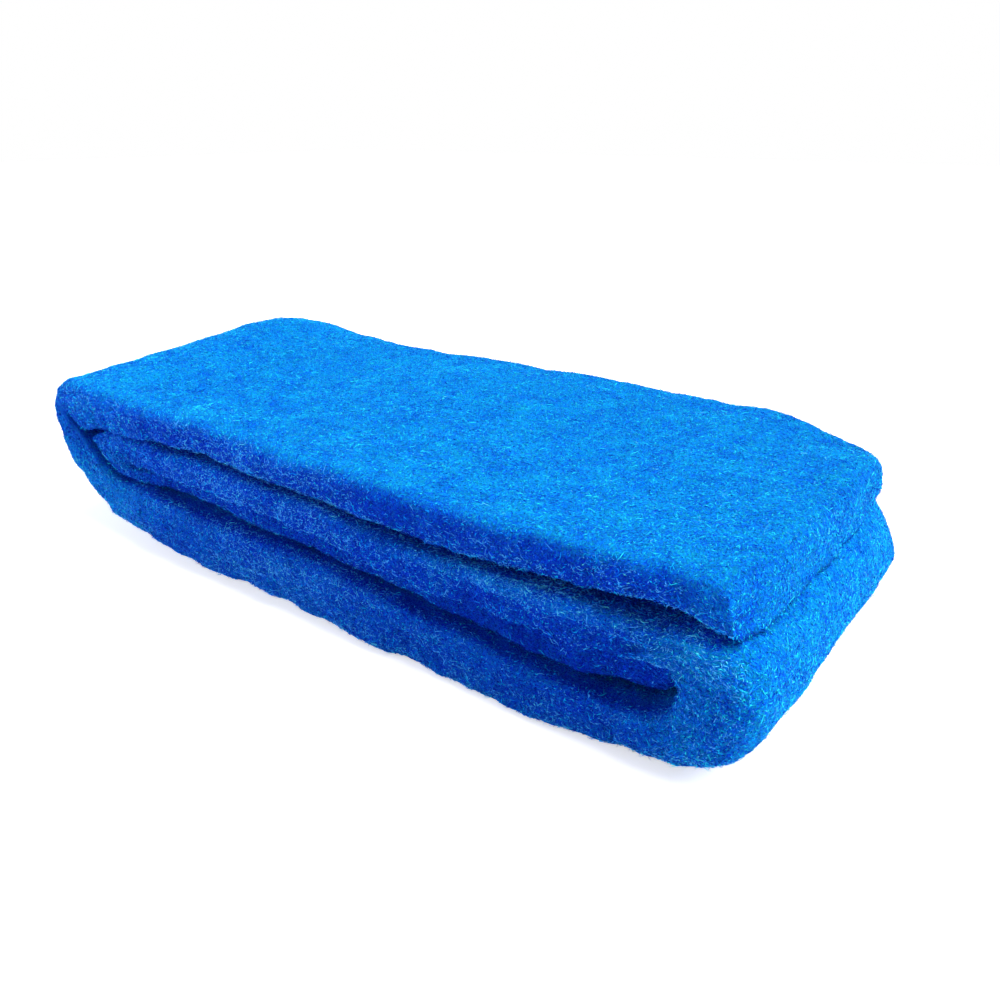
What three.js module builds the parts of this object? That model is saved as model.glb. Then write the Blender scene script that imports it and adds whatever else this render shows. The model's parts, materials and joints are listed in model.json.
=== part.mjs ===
// Filter mat: one length of nonwoven fibre folded flat into four layers, in millimetres.
// +X runs along the layers, +Y across their width, +Z up. The origin is on the floor, under the centre.
// The sheet runs from the free end of the top layer round the left fold, along the bottom layer, round the
// right fold, back along the second layer, round the inner fold and out along the third layer.
import * as THREE from "three";

// Driving dimensions
const WIDTH = 120;
const HEIGHT = 50;
const LEFT_X = -131;
const RIGHT_X = 131;
const FREE_END_X = 124;
const BOTTOM_THICKNESS = 18;
const INNER_THICKNESS = 9.1;
const TOP_THICKNESS = 12.5;
const TOUCH_GAP = 0.4;

// The left fold turns by 120 degrees at its upper corner and by 60 degrees at its lower corner.
const UPPER_TURN = THREE.MathUtils.degToRad(120);
const LOWER_TURN = Math.PI - UPPER_TURN;
const UPPER_RADIUS = 7;
const LOWER_RADIUS = 40;

// The right fold is a rounded block, and the third layer stops short of it.
const RIGHT_FOLD_X = 108;
const RIGHT_FOLD_RADIUS = 14;
const THIRD_END_CLEARANCE = 2;

// The inner fold leans as the left fold does.
const INNER_FOLD_X = -86;
const INNER_TOE_X = -93;
const INNER_UPPER_RADIUS = 5;
const INNER_LOWER_RADIUS = 8;

// Heights of the layers
const THIRD_Z = BOTTOM_THICKNESS + TOUCH_GAP;
const SECOND_Z = THIRD_Z + INNER_THICKNESS + TOUCH_GAP;
const INNER_TOP_Z = SECOND_Z + INNER_THICKNESS;
const TOP_Z = HEIGHT - TOP_THICKNESS;

// Corners of the left fold: the centres of its two arcs, and the angles where its mitre planes cut them
const WALL_NORMAL = Math.PI / 2 + UPPER_TURN;
const UPPER_MITRE = Math.PI / 2 + UPPER_TURN / 2;
const LOWER_MITRE = WALL_NORMAL + LOWER_TURN / 2;
const upperCentre = new THREE.Vector2(LEFT_X + UPPER_RADIUS, HEIGHT - UPPER_RADIUS);
const lowerCentre = new THREE.Vector2(lowerCentreX(), LOWER_RADIUS);

// Where each mitre plane meets the inner face of the wrap
const upperInner = onMitre(upperCentre, UPPER_MITRE, TOP_Z);
const lowerInner = onMitre(lowerCentre, LOWER_MITRE, BOTTOM_THICKNESS);

// The outer wall touches both arcs, so across the wall their centres are the difference of the radii apart.
function lowerCentreX() {
  const across = LOWER_RADIUS - UPPER_RADIUS;
  const drop = upperCentre.y - LOWER_RADIUS;
  return upperCentre.x - (across - drop * Math.sin(WALL_NORMAL)) / Math.cos(WALL_NORMAL);
}

// The point of a mitre plane, which runs through an arc's centre, at height z.
function onMitre(centre, angle, z) {
  return new THREE.Vector2(centre.x + (z - centre.y) / Math.tan(angle), z);
}

// Half the gap at a mitre, as an angle on an arc.
function halfGap(radius) {
  return TOUCH_GAP / 2 / radius;
}

// Half the gap at a mitre, measured along a level face.
function levelHalfGap(angle) {
  return TOUCH_GAP / 2 / Math.abs(Math.sin(angle));
}

function topLayer() {
  const shape = new THREE.Shape();
  shape.moveTo(upperInner.x + levelHalfGap(UPPER_MITRE), TOP_Z);
  shape.lineTo(FREE_END_X, TOP_Z);
  shape.lineTo(FREE_END_X, HEIGHT);
  const end = UPPER_MITRE - halfGap(UPPER_RADIUS);
  shape.absarc(upperCentre.x, upperCentre.y, UPPER_RADIUS, Math.PI / 2, end);
  return shape;
}

function leftFold() {
  const start = UPPER_MITRE + halfGap(UPPER_RADIUS);
  const end = LOWER_MITRE - halfGap(LOWER_RADIUS);
  const shape = new THREE.Shape();
  shape.moveTo(lowerInner.x - levelHalfGap(LOWER_MITRE), BOTTOM_THICKNESS);
  shape.lineTo(upperInner.x - levelHalfGap(UPPER_MITRE), TOP_Z);
  shape.absarc(upperCentre.x, upperCentre.y, UPPER_RADIUS, start, WALL_NORMAL);
  shape.absarc(lowerCentre.x, lowerCentre.y, LOWER_RADIUS, WALL_NORMAL, end);
  return shape;
}

function bottomLayer() {
  const start = LOWER_MITRE + halfGap(LOWER_RADIUS);
  const shape = new THREE.Shape();
  shape.moveTo(RIGHT_FOLD_X, BOTTOM_THICKNESS);
  shape.lineTo(lowerInner.x + levelHalfGap(LOWER_MITRE), BOTTOM_THICKNESS);
  shape.absarc(lowerCentre.x, lowerCentre.y, LOWER_RADIUS, start, 1.5 * Math.PI);
  shape.lineTo(RIGHT_FOLD_X, 0);
  return shape;
}

function rightFold() {
  const startX = RIGHT_FOLD_X + TOUCH_GAP;
  const arcX = RIGHT_X - RIGHT_FOLD_RADIUS;
  const shape = new THREE.Shape();
  shape.moveTo(startX, INNER_TOP_Z);
  shape.lineTo(startX, 0);
  shape.absarc(arcX, RIGHT_FOLD_RADIUS, RIGHT_FOLD_RADIUS, -Math.PI / 2, 0);
  shape.absarc(arcX, INNER_TOP_Z - RIGHT_FOLD_RADIUS, RIGHT_FOLD_RADIUS, 0, Math.PI / 2);
  return shape;
}

function innerFold() {
  const lean = Math.tan(WALL_NORMAL - Math.PI);
  const headX = INNER_TOE_X - (INNER_TOP_Z - THIRD_Z) * lean;
  const upperX = headX + INNER_UPPER_RADIUS * Math.tan(UPPER_TURN / 2);
  const lowerX = INNER_TOE_X + INNER_LOWER_RADIUS * Math.tan(LOWER_TURN / 2);
  const upperZ = INNER_TOP_Z - INNER_UPPER_RADIUS;
  const lowerZ = THIRD_Z + INNER_LOWER_RADIUS;
  const shape = new THREE.Shape();
  shape.moveTo(INNER_FOLD_X, THIRD_Z);
  shape.lineTo(INNER_FOLD_X, INNER_TOP_Z);
  shape.absarc(upperX, upperZ, INNER_UPPER_RADIUS, Math.PI / 2, WALL_NORMAL);
  shape.absarc(lowerX, lowerZ, INNER_LOWER_RADIUS, WALL_NORMAL, 1.5 * Math.PI);
  return shape;
}

// A straight inner layer, from the inner fold to endX.
function innerLayer(bottomZ, endX) {
  const startX = INNER_FOLD_X + TOUCH_GAP;
  const shape = new THREE.Shape();
  shape.moveTo(startX, bottomZ);
  shape.lineTo(endX, bottomZ);
  shape.lineTo(endX, bottomZ + INNER_THICKNESS);
  shape.lineTo(startX, bottomZ + INNER_THICKNESS);
  return shape;
}

// Colours of the fibre: bright where light falls on it, deeper between the layers
const outerFibre = new THREE.MeshStandardMaterial({ color: 0x0a78e0, roughness: 0.95, metalness: 0 });
const innerFibre = new THREE.MeshStandardMaterial({ color: 0x0a4fa8, roughness: 0.95, metalness: 0 });

const mat = new THREE.Group();

// Adds one stretch of the sheet: its outline in X and Z, drawn out across the whole width.
function addStretch(name, outline, material) {
  const geometry = new THREE.ExtrudeGeometry(outline, {
    depth: WIDTH,
    bevelEnabled: false,
    curveSegments: 12,
  });
  const mesh = new THREE.Mesh(geometry, material.clone());
  mesh.name = name;
  mesh.rotation.x = Math.PI / 2;
  mesh.position.y = WIDTH / 2;
  mat.add(mesh);
}

addStretch("top_layer", topLayer(), outerFibre);
addStretch("left_fold", leftFold(), outerFibre);
addStretch("bottom_layer", bottomLayer(), outerFibre);
addStretch("right_fold", rightFold(), outerFibre);
addStretch("second_layer", innerLayer(SECOND_Z, RIGHT_FOLD_X), innerFibre);
addStretch("inner_fold", innerFold(), innerFibre);
addStretch("third_layer", innerLayer(THIRD_Z, RIGHT_FOLD_X - THIRD_END_CLEARANCE), innerFibre);

export default mat;
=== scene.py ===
"""Folded filter mat: one fibre sheet, lofted as a whole in its folded state and cut at its folds."""

import json
import math

import bpy
import numpy as np
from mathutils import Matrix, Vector


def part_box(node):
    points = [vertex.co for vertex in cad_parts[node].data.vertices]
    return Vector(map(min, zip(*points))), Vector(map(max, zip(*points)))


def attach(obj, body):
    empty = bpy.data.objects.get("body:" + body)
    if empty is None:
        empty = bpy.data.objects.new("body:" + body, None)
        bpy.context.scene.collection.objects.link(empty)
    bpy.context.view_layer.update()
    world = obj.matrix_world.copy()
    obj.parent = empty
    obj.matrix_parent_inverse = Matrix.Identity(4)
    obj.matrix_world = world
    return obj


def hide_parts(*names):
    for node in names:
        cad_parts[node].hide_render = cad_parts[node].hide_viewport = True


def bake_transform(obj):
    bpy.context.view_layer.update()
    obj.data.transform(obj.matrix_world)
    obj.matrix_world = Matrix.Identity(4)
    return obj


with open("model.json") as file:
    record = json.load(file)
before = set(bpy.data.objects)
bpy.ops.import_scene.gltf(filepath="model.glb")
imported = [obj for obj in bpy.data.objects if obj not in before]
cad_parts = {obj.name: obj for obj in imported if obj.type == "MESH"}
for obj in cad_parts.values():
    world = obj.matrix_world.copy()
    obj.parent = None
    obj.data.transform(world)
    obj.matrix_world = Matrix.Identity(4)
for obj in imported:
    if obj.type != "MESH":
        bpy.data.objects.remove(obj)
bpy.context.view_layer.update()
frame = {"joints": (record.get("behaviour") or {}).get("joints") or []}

MM = 0.001
HINGES = {joint["name"]: Vector(joint["pos_m"]) for joint in frame["joints"]}
# The way the sheet runs at the left fold's two turns: at the upper one from the wall to the top layer, and at
# the lower one from the bottom layer to the wall
UPPER_TILT, LOWER_TILT = math.radians(35.0), math.radians(60.0)
UPPER = Vector((math.sin(UPPER_TILT), 0.0, math.cos(UPPER_TILT)))

# --- The sheet, in millimetres ---------------------------------------------------------------
# Each stretch of the sheet, in order from the free end of the top layer to the inner cut end.
# A rib crosses the sheet's thickness: outer point X and Z, then inner point X and Z.
STRETCHES = {
    "top_layer": (
        (123.6, 49.6, 125.8, 36.8),
        (112.0, 49.6, 112.0, 40.2),
        (90.0, 48.8, 90.0, 38.8),
        (60.0, 47.4, 60.0, 35.9),
        (20.0, 48.4, 20.0, 36.4),
        (-20.0, 49.6, -20.0, 38.0),
        (-60.0, 50.8, -60.0, 40.1),
    ),
    "left_fold_upper": (
        (-76.0, 51.3, -76.0, 40.2),
        (-92.0, 51.6, -92.0, 39.6),
        (-112.0, 52.4, -104.0, 38.6),
        (-122.6, 51.6, -112.6, 37.0),
        (-126.0, 50.1, -116.6, 37.6),
        (-129.7, 47.2, -120.4, 39.6),
        (-131.8, 44.2, -117.3, 36.8),
        (-132.4, 40.4, -114.0, 34.5),
        (-130.3, 33.0, -109.4, 29.9),
    ),
    "left_fold_lower": (
        (-124.8, 25.0, -104.1, 25.8),
        (-116.4, 17.2, -100.0, 23.2),
        (-108.6, 10.8, -96.4, 21.6),
        (-98.5, 4.2, -91.5, 21.0),
    ),
    "bottom_layer": (
        (-84.0, 1.6, -81.0, 21.2),
        (-60.0, 0.7, -60.0, 21.7),
        (-20.0, 0.3, -20.0, 19.9),
        (30.0, 0.1, 30.0, 17.2),
        (80.0, 0.1, 80.0, 13.6),
    ),
    "right_fold": (
        (98.0, 0.3, 97.0, 13.0),
        (109.0, 1.2, 105.5, 13.8),
        (118.5, 3.0, 109.8, 15.8),
        (125.8, 8.0, 112.0, 19.0),
        (129.6, 14.0, 112.6, 22.8),
        (131.2, 20.5, 112.6, 24.8),
        (131.0, 27.5, 111.8, 26.4),
        (128.6, 34.0, 109.5, 27.6),
        (121.4, 37.0, 105.5, 28.0),
    ),
    "second_layer": (
        (108.0, 36.0, 98.0, 27.2),
        (84.0, 34.8, 82.0, 25.0),
        (60.0, 34.0, 60.0, 25.0),
        (20.0, 35.2, 20.0, 27.2),
        (-20.0, 37.0, -20.0, 29.2),
        (-60.0, 38.9, -60.0, 31.2),
    ),
    "inner_fold": (
        (-84.0, 38.6, -80.0, 29.8),
        (-97.0, 37.5, -85.0, 29.4),
        (-105.6, 35.6, -87.4, 29.1),
        (-110.2, 33.2, -88.4, 28.7),
        (-107.6, 30.2, -87.6, 28.3),
        (-101.8, 26.6, -85.6, 28.1),
        (-94.5, 23.2, -83.0, 28.0),
    ),
    "third_layer": (
        (-80.0, 22.6, -78.0, 28.6),
        (-60.0, 22.9, -60.0, 30.4),
        (-20.0, 21.0, -20.0, 28.6),
        (20.0, 18.9, 20.0, 26.6),
        (60.0, 16.4, 60.0, 24.4),
        (90.0, 15.0, 90.0, 24.2),
        (108.0, 17.2, 110.5, 26.4),
    ),
}
# How far each stretch's front edge stands forward of the top layer's
FRONT_STEP = {
    "top_layer": 0.0,
    "left_fold_upper": 0.0,
    "left_fold_lower": 1.4,
    "bottom_layer": 2.6,
    "right_fold": 3.2,
    "second_layer": 2.4,
    "inner_fold": -0.4,
    "third_layer": -2.2,
}
# Radii of the long edges on the sheet's inner side and on its outer side, and of the ends on the inner side
INNER_RADIUS = {
    "top_layer": 4.0,
    "left_fold_upper": 0.4,
    "bottom_layer": 2.8,
    "right_fold": 2.6,
    "second_layer": 1.2,
    "inner_fold": 1.0,
    "third_layer": 1.2,
}
OUTER_RADIUS = {
    "top_layer": 4.2,
    "left_fold_upper": 4.6,
    "left_fold_lower": 5.5,
    "right_fold": 8.3,
    "second_layer": 3.0,
    "third_layer": 2.6,
}
USUAL_RADIUS = 2.4
END_RADIUS = 1.0
# How dark the cut edges' colour is, where not 1: partly the fibre's own deeper colour and partly painted
# shade, lighter where light falls on the left fold, the bottom layer and the right fold, and heavier on the
# recessed third layer
CUT_SHADE = {"left_fold_lower": 0.7, "bottom_layer": 0.85, "right_fold": 0.8, "third_layer": 1.6}
HIDDEN = ("second_layer", "inner_fold", "third_layer")  # stretches whose outer side lies inside the stack, darkened there as painted shade
# Bands beside the long edges
EDGE_BAND = 5.0  # of the inner side, with fibres like the cut edge's, as painted shade in the gaps between layers
TUCKED_BAND = 16.0  # of the outer side under the top layer, with fibres like the cut edge's, as painted shade under its overhang
RIM_HEIGHT, RIM_BAND = 3.0, 4.5  # of the rim under the top layer that is painted lighter, a painted highlight: on the cut edge, and beside it
CREASE_BAND = 1.5  # on either side of the crease inside the left fold, without the cut edge's fibres

INNER, OUTER, CUT, END = range(4)  # the kinds of face: the sheet's two sides, its long cut edges, its ends

STEP = 1.1  # along the sheet and across it
WIDTH = (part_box("top_layer")[1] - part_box("top_layer")[0]).y / MM
ACROSS = round(WIDTH / STEP)
THROUGH = 11
EASING = 19  # steps over which a value of one stretch turns into the next one's
TINY = 1e-9


def smooth(a, b, x):
    """0 before a, 1 after b, and an S curve between them."""
    t = np.clip((x - a) / (b - a), 0.0, 1.0)
    return t * t * (3.0 - 2.0 * t)


def lattice_noise(points, size, seed):
    """Smooth noise from -1 to 1 at the points, with features of the given size in each direction."""
    table = np.random.default_rng(seed).uniform(-1.0, 1.0, 1 << 16)
    q = points / np.asarray(size, float)
    cell = np.floor(q).astype(np.int64)
    f = q - cell
    f = f * f * (3.0 - 2.0 * f)
    total = np.zeros(len(points))
    for corner in range(8):
        bits = np.array([corner & 1, corner >> 1 & 1, corner >> 2 & 1])
        at = cell + bits
        key = at[:, 0] * 73856093 ^ at[:, 1] * 19349663 ^ at[:, 2] * 83492791
        weight = np.where(bits, f, 1.0 - f).prod(1)
        total += weight * table[key & 0xFFFF]
    return total


def hermite(keys, stations):
    """A smooth curve through keys (at stations), as a function of the station."""
    h = np.diff(stations)[:, None]
    slope = np.diff(keys, axis=0) / h
    tangent = np.empty_like(keys)
    tangent[1:-1] = (slope[:-1] * h[1:] + slope[1:] * h[:-1]) / (h[1:] + h[:-1])
    tangent[0], tangent[-1] = slope[0], slope[-1]

    def at(s):
        i = np.clip(np.searchsorted(stations, s) - 1, 0, len(h) - 1)
        t = ((s - stations[i]) / h[i, 0])[:, None]
        a, b = keys[i], keys[i + 1]
        ta, tb = tangent[i] * h[i], tangent[i + 1] * h[i]
        return (
            (2 * t**3 - 3 * t**2 + 1) * a
            + (t**3 - 2 * t**2 + t) * ta
            + (-2 * t**3 + 3 * t**2) * b
            + (t**3 - t**2) * tb
        )

    return at


def rib_curve():
    """Every rib of the sheet at even steps of its longer side, the steps where stretches start, and the
    distance along the sheet's middle at each step."""
    keys = np.array([rib for ribs in STRETCHES.values() for rib in ribs])
    sides = np.diff(keys, axis=0).reshape(-1, 2, 2)
    chord = np.linalg.norm(sides, axis=2).max(1)
    stations = np.concatenate([[0.0], np.cumsum(chord)])
    curve = hermite(keys, stations)
    count = round(stations[-1] / STEP)
    at = np.linspace(0.0, stations[-1], count + 1)
    ribs = curve(at)
    first, starts = 0, []
    for stretch_ribs in STRETCHES.values():
        starts.append(int(np.argmin(abs(at - stations[first]))))
        first += len(stretch_ribs)
    middle = (ribs[:, :2] + ribs[:, 2:]) / 2
    along = np.concatenate([[0.0], np.cumsum(np.linalg.norm(np.diff(middle, axis=0), axis=1))])
    return ribs, starts + [count], along


def per_step(values, starts, usual):
    """A value for every step, set by stretch and eased across each change of stretch."""
    bare = np.empty(starts[-1] + 1)
    for name, a, b in zip(STRETCHES, starts, starts[1:]):
        bare[a : b + 1] = values.get(name, usual)
    padded = np.pad(bare, EASING // 2, mode="edge")
    return np.convolve(padded, np.ones(EASING) / EASING, mode="valid")


def round_edges(inset, radius):
    """Insets of surface points from the faces along three axes, after the edges are rounded."""
    q = np.maximum(radius - inset, 0.0)
    longest = q.max(1)
    length = np.linalg.norm(q, axis=1)
    scale = np.where(length > TINY, longest / np.maximum(length, TINY), 1.0)
    return np.where(q > 0, radius - q * scale[:, None], inset)


def painted_light_at_ends(x, left, right):
    """How much of the cut edges' darkness is taken away at the left and the right end of the stack, as painted
    light where light falls on the ends.
    """
    return left * smooth(-60.0, -115.0, x) + right * smooth(102.0, 124.0, x)


def hand_laid(p, depth):
    """Moves points of the straight-sided stack as a hand-folded mat lies: a puffed left fold, a top layer
    that is higher along its back, a back right corner that droops and rounds off, and a front left edge
    that leaves the floor. depth is 0 on the sheet's inner side and 1 on its outer side."""
    x, y, z = p.T.copy()
    high = smooth(14.0, 46.0, z)
    # The puffed left fold
    puff = smooth(-46.0, -122.0, x) * (0.12 + 0.88 * smooth(-60.0, 24.0, y)) * smooth(66.0, 34.0, y)
    z = z + 5.6 * puff * high * depth
    # The raised back, which dips between the puff and the raised part
    rear = smooth(-10.0, 58.0, y) * high
    raised = 2.3 * smooth(-50.0, 20.0, x) * smooth(108.0, 84.0, x)
    dip = 1.2 * smooth(-118.0, -96.0, x) * smooth(-20.0, -50.0, x)
    z = z + rear * (raised - dip)
    # The drooping back right corner
    z = z - 3.3 * smooth(84.0, 116.0, x) * smooth(22.0, 62.0, y) * high
    # The right fold's wall, which leans in more and more towards the back
    recess = np.clip(0.62 * (z - 12.0), 0.0, 15.0) * smooth(39.0, 36.0, z)
    x = x - recess * smooth(15.0, 62.0, y) * smooth(92.0, 128.0, x)
    # The top layer's back right corner, rounded off as a superellipse about its centre
    centre_x, centre_y, power = 92.0, 26.0, 2.6
    u, v = np.clip((x - centre_x) / 33.0, 0.0, None), np.clip((y - centre_y) / 34.0, 0.0, None)
    reached = np.maximum((u**power + v**power) ** (1 / power), TINY)
    shrink = np.where((u > 0) & (v > 0), np.maximum(u, v) / reached, 1.0)
    shrink = 1.0 + (shrink - 1.0) * smooth(34.0, 40.0, z)
    x = np.where(u > 0, centre_x + (x - centre_x) * shrink, x)
    y = np.where(v > 0, centre_y + (y - centre_y) * shrink, y)
    # The top layer's front right corner, which is a little short
    x = x - 3.2 * smooth(100.0, 124.0, x) * smooth(-34.0, -60.0, y) * smooth(34.0, 40.0, z)
    # The front left edge, off the floor
    left_front = smooth(40.0, -60.0, x) * smooth(-112.0, -80.0, x) * smooth(-42.0, -60.0, y)
    z = z + 2.8 * left_front * smooth(14.0, 3.0, z)
    return np.stack([x, y, z], 1)


FOLD_CORNER = np.array(HINGES["fold_opening"])[[0, 2]] / MM  # where the upper left fold turns, X and Z
ACROSS_CREASE = np.array(UPPER)[[0, 2]]  # across the crease that runs from there to the fold's inner corner


def under_top_layer(outer):
    """Which points of the sheet's outer line, given as X and Z, lie just under the top layer."""
    x, z = outer.T
    return (x > -100.0) & (x < 122.5) & (abs(z - 36.0) < 5.5)


def unevenness(sheet):
    """How far the surface is off the plain sheet: outwards, across and along."""
    lift = (
        0.65 * lattice_noise(sheet, (34, 30, 60), 11)
        + 0.40 * lattice_noise(sheet, (11, 10, 12), 12)
        + 0.22 * lattice_noise(sheet, (4.0, 4.0, 5), 13)
        + 0.12 * lattice_noise(sheet, (2.2, 2.2, 3), 14)
    )
    push = (
        1.10 * lattice_noise(sheet, (24, 50, 9), 21)
        + 1.10 * lattice_noise(sheet, (9, 40, 5), 22)
        + 0.70 * lattice_noise(sheet, (3.6, 20, 2.6), 23)
    )
    drift = 0.5 * lattice_noise(sheet, (6, 6, 5), 31)
    return lift, push, drift


def patch(face, flip):
    """The quads of a face of the lattice, each as its four corners."""
    corners = face[:-1, :-1], face[1:, :-1], face[1:, 1:], face[:-1, 1:]
    return np.stack(corners[::-1] if flip else corners, -1).reshape(-1, 4)


def long_sides(index):
    """The quads of the lattice's four long sides, with the step and the kind of face of each."""
    quads, owner, kind = [], [], []
    for face, flip, face_kind in (
        (index[:, :, 0], False, INNER),
        (index[:, :, -1], True, OUTER),
        (index[:, 0, :], True, CUT),
        (index[:, -1, :], False, CUT),
    ):
        block = patch(face, flip)
        quads.append(block)
        owner.append(np.repeat(np.arange(len(face) - 1), face.shape[1] - 1))
        kind.append(np.full(len(block), face_kind))
    return np.concatenate(quads), np.concatenate(owner), np.concatenate(kind)


def build_sheet():
    """The whole sheet's surface, from a lattice with one vertex per step along, across and through the
    sheet, of which only the outside and the layers between stretches are kept. Returns the vertices in
    millimetres, their sheet coordinates (along, across, from the inner side), their painted darkness (the
    cut edges' deeper colour with painted shade, and painted shade inside the stack), how much they are part
    of the rim painted lighter, the quads of the long sides with the step and the kind of face of each, the
    lattice of vertex numbers, the steps where stretches start, and the sheet's outer line."""
    ribs, starts, along = rib_curve()
    steps = len(ribs) - 1
    shape = (steps + 1, ACROSS + 1, THROUGH + 1)
    i, j, k = np.indices(shape).reshape(3, -1)
    outside = (i == 0) | (i == steps) | (j == 0) | (j == ACROSS) | (k == 0) | (k == THROUGH)
    kept = outside | np.isin(i, starts)
    index = np.full(i.size, -1)
    index[kept] = np.arange(kept.sum())
    index = index.reshape(shape)
    i, j, k = i[kept], j[kept], k[kept]

    outer, inner = ribs[i, :2], ribs[i, 2:]
    thick = np.linalg.norm(outer - inner, axis=1)
    across = (j / ACROSS - 0.5) * WIDTH
    through = k / THROUGH * thick
    length = along[-1]

    # Rounding of the edges
    inner_side = through < thick / 2
    front_side = across < 0
    start_side = along[i] < length / 2
    inset = np.stack(
        [
            np.where(start_side, along[i], length - along[i]),
            WIDTH / 2 - abs(across),
            np.where(inner_side, through, thick - through),
        ],
        1,
    )
    inner_radius, outer_radius = (per_step(r, starts, USUAL_RADIUS)[i] for r in (INNER_RADIUS, OUTER_RADIUS))
    radius = np.minimum(np.where(inner_side, inner_radius, outer_radius), 0.46 * thick)
    rounded = round_edges(inset, np.stack([np.where(inner_side, END_RADIUS, radius), radius, radius], 1))
    slide = np.where(start_side, 1, -1) * (rounded[:, 0] - inset[:, 0])
    across = np.where(front_side, 1, -1) * (rounded[:, 1] - WIDTH / 2)
    through = np.where(inner_side, rounded[:, 2], thick - rounded[:, 2])
    sheet = np.stack([along[i], across, through], 1)

    # Darkness of the cut edges, partly their own deeper colour and partly painted shade, with painted shade on
    # what lies inside the stack and under the top layer, less of it at both ends as painted light, and the rim
    # painted lighter
    on_side = (j == 0) | (j == ACROSS)
    under_top = under_top_layer(outer)
    tucked = under_top & (k == THROUGH)
    # The rim under the top layer, painted lighter: painted light on an edge that the lamps leave in shade
    painted_rim_light = under_top & ~inner_side & (inset[:, 2] < RIM_HEIGHT) & (inset[:, 1] < RIM_BAND)
    painted_rim_light = painted_rim_light * smooth(0.0, 60.0, outer[:, 0]) * smooth(121.0, 108.0, outer[:, 0])
    on_edge, by_edge = smooth(0, 1, inset[:, 2] / radius), smooth(1, 0, inset[:, 1] / radius)
    cut = np.where(on_side, 0.5 + 0.5 * on_edge, 0.5 * by_edge)
    hidden = per_step(dict.fromkeys(HIDDEN, 1.0), starts, 0.0)[i] > 0.5
    cut = np.maximum(cut, np.where(inner_side | hidden & ~tucked, smooth(20.0, 3.0, inset[:, 1]), 0.0))
    shade = np.minimum(per_step(CUT_SHADE, starts, 1.0)[i], 1.0)
    cut = np.where(inner_side & ~on_side, cut, cut * shade)
    cut = np.maximum(cut, np.where(i == 0, 0.35, 0.0)) * (1.0 - painted_light_at_ends(outer[:, 0], 0.3, 0.4))
    cut = np.maximum(cut, np.where(tucked, 0.9 * smooth(30.0, 10.0, inset[:, 1]), 0.0)) * (1.0 - 0.25 * painted_rim_light)

    # The folded form, uneven everywhere but beside the crease inside the left fold, whose walls have to fit
    normal = (outer - inner) / thick[:, None]
    tangent = np.gradient((ribs[:, :2] + ribs[:, 2:]) / 2, axis=0)
    tangent = (tangent / np.linalg.norm(tangent, axis=1)[:, None])[i]
    lift, push, drift = unevenness(sheet)
    flat = inner + normal * through[:, None] + tangent * slide[:, None]
    from_corner = flat - FOLD_CORNER
    off_crease = abs(from_corner @ ACROSS_CREASE)
    near = smooth(30.0, 22.0, np.linalg.norm(from_corner, axis=1))
    still = 1.0 - (near - smooth(0.5, 4.0, off_crease) * near) * (1.0 - through / thick)
    front_step = per_step(FRONT_STEP, starts, 0.0)[i]
    flat = flat + normal * (lift * still)[:, None] + tangent * (drift * still)[:, None]
    y = across + push - np.where(front_side, front_step, -0.4 * front_step)
    points = hand_laid(np.stack([flat[:, 0], y, flat[:, 1]], 1), through / thick)

    # Kinds of face beside the edges: the inner side's edge band and the outer side under the top layer take
    # the cut edges' darker fibres, as painted shade
    quads, owner, kind = long_sides(index)
    in_fold = (owner >= starts[1]) & (owner < starts[2])
    inner_band = (kind == INNER) & (inset[:, 1][quads] < EDGE_BAND).all(1) & ~in_fold
    tucked_band = (tucked & (inset[:, 1] < TUCKED_BAND))[quads].all(1)
    kind[tucked_band | inner_band] = CUT
    crease = (off_crease < CREASE_BAND) & (through < 0.9 * thick)
    kind[in_fold & crease[quads].any(1)] = INNER
    return points, sheet, cut, painted_rim_light, (quads, owner, kind), index, starts, ribs[:, :2]


def add_object(name, data):
    """A new object in the scene."""
    obj = bpy.data.objects.new(name, data)
    bpy.context.scene.collection.objects.link(obj)
    return obj


def make_mesh(name, points, faces, sheet=None, cut=None, flat_from=None):
    """A smooth mesh from points in millimetres and faces of one size. The sheet's own coordinates are
    stored with it, and faces from flat_from on are flat, so that they don't bend their neighbours' shading."""
    used, local = np.unique(faces, return_inverse=True)
    size = faces.shape[1]
    mesh = bpy.data.meshes.new(name)
    mesh.vertices.add(len(used))
    mesh.vertices.foreach_set("co", (points[used] * MM).astype(np.float32).ravel())
    mesh.loops.add(faces.size)
    mesh.loops.foreach_set("vertex_index", local.astype(np.int32).ravel())
    mesh.polygons.add(len(faces))
    mesh.polygons.foreach_set("loop_start", np.arange(0, faces.size, size, dtype=np.int32))
    mesh.update(calc_edges=True)
    smooth_faces = np.ones(len(faces), bool)
    if flat_from is not None:
        smooth_faces[flat_from:] = False
    mesh.polygons.foreach_set("use_smooth", smooth_faces)
    if sheet is not None:
        place = mesh.attributes.new("sheet", "FLOAT_VECTOR", "POINT")
        place.data.foreach_set("vector", (sheet[used] * MM).astype(np.float32).ravel())
        # The cut attribute carries the painted darkness: the cut edges' deeper colour with painted shade, and
        # painted shade inside the stack
        mesh.attributes.new("cut", "FLOAT", "POINT").data.foreach_set("value", cut[used].astype(np.float32))
    return add_object(name, mesh)


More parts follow.
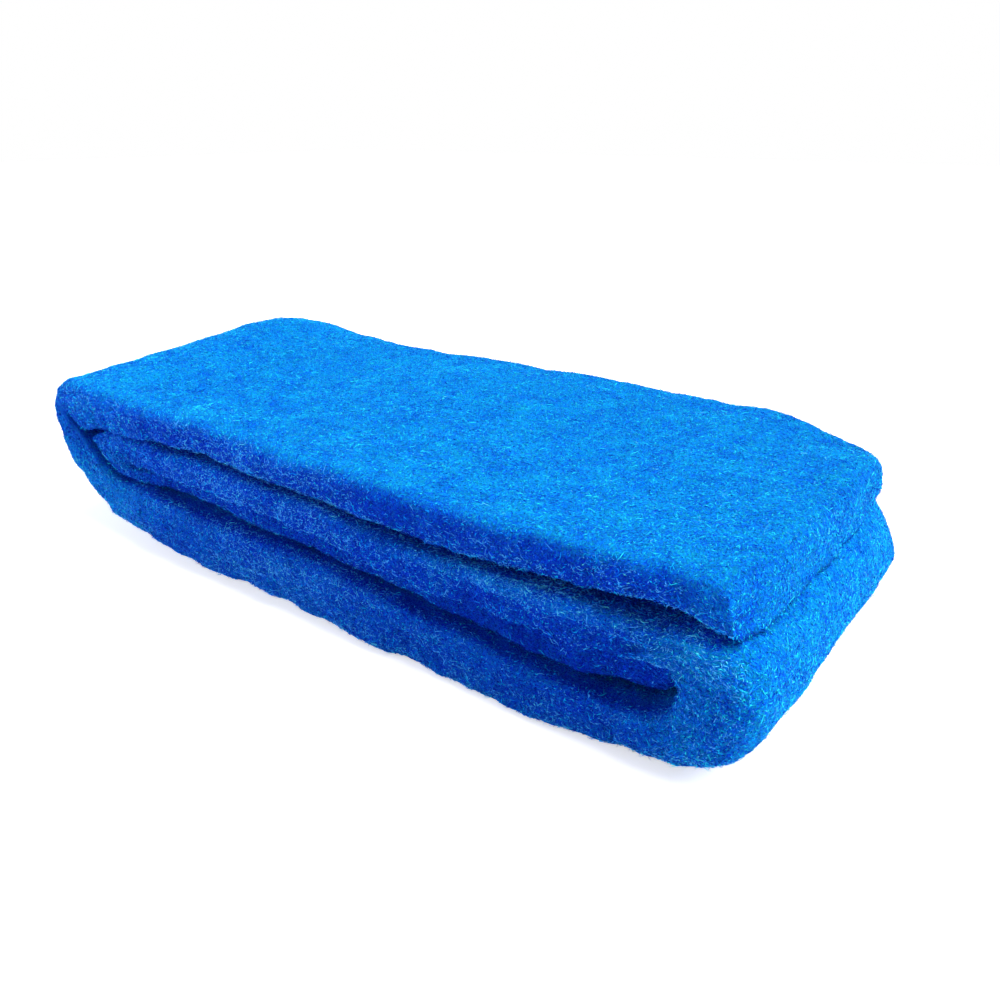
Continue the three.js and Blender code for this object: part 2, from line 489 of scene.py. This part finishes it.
def strand_mesh(name, points, quads, kinds, density, shade, seed):
    """Loose fibres on the quads: ribbons with pointed ends, most of them short and straight and some
    longer and curled. density is fibres per square millimetre on each kind of face, and shade how dark the
    painted shade on the cut edges is on each quad, lower on the rim painted lighter. Returns the object, and
    for each triangle how dark its fibre is meant to be, from 0 to 1, and whether it has the cut edges'
    darker tints, which carry painted shade."""
    rng = np.random.default_rng(seed)
    a, b, c, d = points[quads].transpose(1, 0, 2)
    along, up = (b + c - a - d) / 2, (c + d - a - b) / 2
    normal = np.cross(along, up)
    area = np.linalg.norm(normal, axis=1)
    normal /= area[:, None]
    expected = area * np.asarray(density)[kinds]
    total = int(expected.sum())
    at = np.searchsorted(np.cumsum(expected), (np.arange(total) + rng.random(total)) * expected.sum() / total)
    at = rng.permutation(np.minimum(at, len(quads) - 1))
    u, v = rng.random((2, total, 1))
    centre = a[at] * (1 - u) * (1 - v) + b[at] * u * (1 - v) + c[at] * u * v + d[at] * (1 - u) * v
    normal, kind = normal[at], kinds[at]
    along = along[at] / np.linalg.norm(along[at], axis=1)[:, None]
    side = np.cross(normal, along)
    cut = kind == CUT
    curled = rng.random(total) < np.where(cut, 0.11, 0.05)

    angle = np.where(cut, rng.normal(0.0, 0.8, total), rng.uniform(-math.pi, math.pi, total))[:, None]
    forward = np.cos(angle) * along + np.sin(angle) * side
    sideways = np.cross(normal, forward)
    length = np.where(curled, rng.uniform(1.6, 3.4, total), rng.uniform(0.5, 1.3, total))
    loose = rng.random(total) < np.where(cut, 0.30, 0.16)
    arch = rng.uniform(0.0, 0.4, total) * np.where(curled, 1.0, 0.4)
    tilt = (rng.normal(0.0, 0.16, total) + loose * rng.uniform(-0.8, 0.8, total)) * np.where(curled, 1.0, 0.7)
    sink = rng.uniform(-0.16, 0.12, total) + abs(tilt) * 0.35
    curl = length * rng.normal(0.0, 0.26, total)
    wave = length * rng.normal(0.0, 0.09, total)
    half = np.where(curled, rng.uniform(0.05, 0.085, total), rng.uniform(0.06, 0.11, total) + 0.03 * cut)
    half = half[:, None]
    roll = abs(rng.normal(0.9, 0.5, total))
    facing_up = rng.random(total) < 0.8
    roll = np.where(facing_up == (sideways[:, 2] > 0), -roll, roll)[:, None]
    across = (np.cos(roll) * sideways + np.sin(roll) * normal) * half

    def row(t, who):
        return (
            centre[who]
            + forward[who] * (length * t / 2)[who, None]
            + sideways[who] * (curl * (t * t - 0.4) + wave * math.sin(3.4 * t))[who, None]
            + normal[who] * (sink + arch * (1 - t * t) + tilt * t)[who, None]
        )

    long, short = curled, ~curled
    first, second, third, fourth = (row(t, long) for t in (-1.0, -0.36, 0.36, 1.0))
    edge = across[long]
    long_points = np.stack([first, second - edge, second + edge, third - edge, third + edge, fourth], 1)
    edge = across[short]
    first, middle, last = (row(t, short) for t in (-1.0, 0.0, 1.0))
    short_points = np.stack([first, middle - edge, middle + edge, last], 1)
    ribbon = np.array([[0, 1, 2], [1, 3, 2], [2, 3, 4], [3, 5, 4]])
    long_faces = np.arange(long.sum())[:, None, None] * 6 + ribbon
    short_faces = np.arange(short.sum())[:, None, None] * 4 + ribbon[:2] + long_points.size // 3
    corners = np.concatenate([long_points.reshape(-1, 3), short_points.reshape(-1, 3)])
    faces = np.concatenate([long_faces.reshape(-1, 3), short_faces.reshape(-1, 3)])
    clump = lattice_noise(centre, (9.0, 9.0, 5.0), 41) + lattice_noise(centre, (30.0, 30.0, 12.0), 42)
    # Darker tints come more often where shade is painted on the cut edges, and less often on the rim and at
    # the stack's ends, where light is painted
    dark = rng.random(total) ** np.exp(np.where(cut, 0.6 * clump + 1.2 * (1.0 - shade[at]), 0.2 * clump))
    cut &= rng.random(total) > painted_light_at_ends(centre[:, 0], 0.35, 0.3)
    dark, cut = (np.concatenate([np.repeat(v[long], 4), np.repeat(v[short], 2)]) for v in (dark, cut))
    return make_mesh(name, corners, faces), dark, cut


points, sheet, cut, painted_rim_light, (quads, owner, kinds), index, starts, outer_line = build_sheet()
# Fibres per square millimetre on the inner side, the outer side, the long cut edges and the ends
DENSITY = {
    "top_layer": (0.55, 2.25, 3.6, 3.0),
    "left_fold_upper": (0.0, 3.0, 3.6, 3.0),
    "left_fold_lower": (0.6, 3.0, 3.6, 3.0),
    "bottom_layer": (0.4, 0.8, 3.8, 3.0),
    "right_fold": (0.4, 3.2, 3.8, 3.0),
    "second_layer": (0.3, 2.2, 4.0, 3.0),
    "inner_fold": (0.3, 1.0, 4.0, 3.0),
    "third_layer": (0.3, 0.4, 4.0, 3.0),
}
FIRST_STRAND_SEED = 100
pieces, strands = {}, {}
for order, (name, a, b) in enumerate(zip(STRETCHES, starts, starts[1:])):
    own = (owner >= a) & (owner < b)
    skin, skin_kinds, inside = quads[own], kinds[own], []
    for end, shown in ((patch(index[a], False), a == 0), (patch(index[b], True), b == starts[-1])):
        if shown:
            skin = np.concatenate([skin, end])
            skin_kinds = np.concatenate([skin_kinds, np.full(len(end), END)])
        else:
            inside.append(end)
    faces = np.concatenate([skin, *inside])
    pieces[name] = make_mesh(name + "_fibre", points, faces, sheet, cut, len(skin))
    shade = CUT_SHADE.get(name, 1.0) - 0.75 * painted_rim_light[skin].mean(1)  # paler fibres on the rim under the top layer, as painted light
    strands[name] = strand_mesh(
        name + "_strands", points, skin, skin_kinds, DENSITY[name], shade, FIRST_STRAND_SEED + order
    )


# --- Materials -------------------------------------------------------------------------------
def plain(name, colour, roughness, specular):
    """A material of one colour, and its shader's inputs."""
    material = bpy.data.materials.new(name)
    material.use_nodes = True
    inputs = material.node_tree.nodes["Principled BSDF"].inputs
    inputs["Base Color"].default_value = (*colour, 1.0)
    inputs["Roughness"].default_value = roughness
    inputs["Specular IOR Level"].default_value = specular
    return material, inputs


def tint(name, colour, roughness):
    """A plain tint of the fibre."""
    return plain(name, colour, roughness, 0.05)[0]


# The fibres' tints, with the dark ones last, and the share of each on faces and on cut edges. The glint,
# pale and cyan tints partly stand in for fibres catching the light, as painted glints, and the cut edges'
# darker shares are partly painted shade
TINTS = (
    tint("fibre_glint", (0.09, 0.72, 1.0), 0.5),
    tint("fibre_pale", (0.055, 0.39, 1.0), 0.5),
    tint("fibre_cyan", (0.02, 0.88, 1.0), 0.5),
    tint("fibre_azure", (0.003, 0.56, 1.0), 0.6),
    tint("fibre_blue", (0.001, 0.32, 1.0), 0.65),
    tint("fibre_deep", (0.001, 0.115, 0.78), 0.7),
    tint("fibre_navy", (0.0005, 0.026, 0.44), 0.8),
)
SHARES = {
    "face": (0.010, 0.015, 0.20, 0.23, 0.25, 0.165, 0.13),
    "cut": (0.006, 0.25, 0.0, 0.05, 0.13, 0.23, 0.334),
}


def nonwoven():
    """The mat's own surface: matted blue fibre, with thin bright strands and dark pits between them,
    darkened by the cut attribute: the cut edges' deeper colour with painted shade, painted shade inside the
    stack, and less of it as painted light at the ends and on the rim."""
    material = bpy.data.materials.new("matted_fibre")
    material.use_nodes = True
    nodes, links = material.node_tree.nodes, material.node_tree.links
    shader = nodes["Principled BSDF"]
    shader.inputs["Specular IOR Level"].default_value = 0.03
    place = nodes.new("ShaderNodeAttribute")
    place.attribute_name = "sheet"

    def math_node(operation, a, b=None, clamp=False):
        node = nodes.new("ShaderNodeMath")
        node.operation, node.use_clamp = operation, clamp
        for socket, value in zip(node.inputs, (a, b)):
            if isinstance(value, (int, float)):
                socket.default_value = value
            elif value is not None:
                links.new(value, socket)
        return node.outputs[0]

    def noise(size_mm, detail, distortion=0.0):
        node = nodes.new("ShaderNodeTexNoise")
        node.inputs["Scale"].default_value = 1000.0 / size_mm
        node.inputs["Detail"].default_value = detail
        node.inputs["Roughness"].default_value = 0.6
        node.inputs["Distortion"].default_value = distortion
        links.new(place.outputs["Vector"], node.inputs["Vector"])
        return node.outputs["Fac"]

    def thread(size_mm, half_width, distortion):
        off = math_node("ABSOLUTE", math_node("SUBTRACT", noise(size_mm, 1.0, distortion), 0.5))
        return math_node("SUBTRACT", 1.0, math_node("DIVIDE", off, half_width), clamp=True)

    threads = math_node("MAXIMUM", thread(1.5, 0.04, 0.9), thread(0.9, 0.04, 1.0))
    grain = noise(0.55, 2.0)
    clumps = noise(9.0, 3.0)
    height = math_node("ADD", math_node("MULTIPLY", threads, 0.6), math_node("MULTIPLY", grain, 0.9))
    value = math_node("ADD", math_node("MULTIPLY", threads, 0.38), math_node("MULTIPLY", grain, 0.9))
    value = math_node("ADD", value, math_node("MULTIPLY", math_node("SUBTRACT", clumps, 0.5), 0.5))
    ramp = nodes.new("ShaderNodeValToRGB")
    pit, thread_top = ramp.color_ramp.elements
    pit.position, pit.color = 0.30, (0.001, 0.08, 0.76, 1)
    thread_top.position, thread_top.color = 0.90, (0.008, 0.66, 1.0, 1)
    ramp.color_ramp.elements.new(0.52).color = (0.002, 0.28, 0.98, 1)
    links.new(value, ramp.inputs[0])
    # Painted shade: the cut attribute darkens the colour on the cut edges, inside the stack and under the top
    # layer
    edge = nodes.new("ShaderNodeAttribute")
    edge.attribute_name = "cut"
    darker = nodes.new("ShaderNodeMix")
    darker.data_type, darker.blend_type = "RGBA", "MULTIPLY"
    links.new(edge.outputs["Fac"], darker.inputs[0])
    links.new(ramp.outputs[0], darker.inputs[6])
    darker.inputs[7].default_value = (0.4, 0.22, 0.76, 1)
    links.new(darker.outputs[2], shader.inputs["Base Color"])
    rough = nodes.new("ShaderNodeMapRange")
    rough.inputs["To Min"].default_value, rough.inputs["To Max"].default_value = 0.9, 0.6
    links.new(threads, rough.inputs["Value"])
    links.new(rough.outputs[0], shader.inputs["Roughness"])
    bump = nodes.new("ShaderNodeBump")
    bump.inputs["Strength"].default_value = 1.0
    bump.inputs["Distance"].default_value = 0.0008
    links.new(height, bump.inputs["Height"])
    links.new(bump.outputs[0], shader.inputs["Normal"])
    return material


FIBRE = nonwoven()


def paint_strands(obj, dark, cut):
    """Gives each fibre one of the tints, darker ones more often on cut edges, partly as painted shade."""
    for material in TINTS:
        obj.data.materials.append(material)
    pick = np.where(
        cut,
        np.searchsorted(np.cumsum(SHARES["cut"])[:-1], dark),
        np.searchsorted(np.cumsum(SHARES["face"])[:-1], dark),
    )
    obj.data.polygons.foreach_set("material_index", pick.astype(np.int32))


for name in pieces:
    pieces[name].data.materials.append(FIBRE)
    paint_strands(*strands[name])


# --- How it moves ----------------------------------------------------------------------------
def follow(obj, name):
    """Makes a stretch of the sheet, or its strands, move with the mat: the top layer with the top flap and the
    stretches other than the left fold with the lower mat. The left fold's stretches only have their placing
    fixed in their mesh.
    """
    if name == "left_fold_upper":
        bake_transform(obj)
    elif name == "left_fold_lower":
        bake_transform(obj)
    else:
        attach(obj, "top_flap" if name == "top_layer" else "lower_mat")


for (name, obj), a, b in zip(pieces.items(), starts, starts[1:]):
    for o in (obj, strands[name][0]):
        follow(o, name)
    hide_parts("left_fold" if name.startswith("left_fold") else name)


# --- Stage, light and camera -----------------------------------------------------------------
def camera_only(tree, socket, seen, unseen):
    """Gives a strength one value as the camera sees it and another for the light it sends out."""
    path, choice = tree.nodes.new("ShaderNodeLightPath"), tree.nodes.new("ShaderNodeMapRange")
    choice.inputs["To Min"].default_value, choice.inputs["To Max"].default_value = unseen, seen
    tree.links.new(path.outputs["Is Camera Ray"], choice.inputs["Value"])
    tree.links.new(choice.outputs[0], socket)


floor_mesh = bpy.data.meshes.new("floor")
reach = 3.0
corners = [(-reach, -reach, 0), (reach, -reach, 0), (reach, reach, 0), (-reach, reach, 0)]
floor_mesh.from_pydata(corners, [], [(0, 1, 2, 3)])
floor = add_object("floor", floor_mesh)
floor.location.z = -0.6 * MM
floor_material, inputs = plain("pale_floor", (0.85, 0.85, 0.86), 0.9, 0.0)
inputs["Emission Color"].default_value = (1.0, 1.0, 1.0, 1.0)
camera_only(floor_material.node_tree, inputs["Emission Strength"], 0.6, 0.0)
floor_mesh.materials.append(floor_material)

world = bpy.data.worlds.new("studio")
world.use_nodes = True
bpy.context.scene.world = world
background = world.node_tree.nodes["Background"]
background.inputs["Color"].default_value = (1.0, 1.0, 1.0, 1.0)
camera_only(world.node_tree, background.inputs["Strength"], 1.0, 0.38)


def aim(obj, towards):
    """Turns a light or the camera in a direction."""
    obj.rotation_euler = Vector(towards).to_track_quat("-Z", "Y").to_euler()


# Two wide soft lights from far away, and a small one near the left end
for name, towards, energy in (
    ("key_light", (-0.46, -0.25, -0.77), 4.65),
    ("left_light", (0.93, 0.14, -0.05), 0.9),
):
    light = bpy.data.lights.new(name, "SUN")
    light.energy, light.angle = energy, 1.0
    aim(add_object(name, light), towards)
light = bpy.data.lights.new("near_light", "AREA")
light.energy, light.size = 0.9, 0.2
near_lamp = add_object("near_light", light)
near_lamp.location = (-0.38, -0.30, 0.09)
aim(near_lamp, (0.27, 0.24, -0.065))

lens = bpy.data.cameras.new("camera")
lens.lens, lens.sensor_width, lens.clip_start = 32.54, 36.0, 0.01
camera = add_object("camera", lens)
camera.location = (0.1766, -0.2139, 0.135)
aim(camera, (-0.5439, 0.7434, -0.3893))
bpy.context.scene.camera = camera
bpy.context.scene.view_settings.view_transform = "Standard"
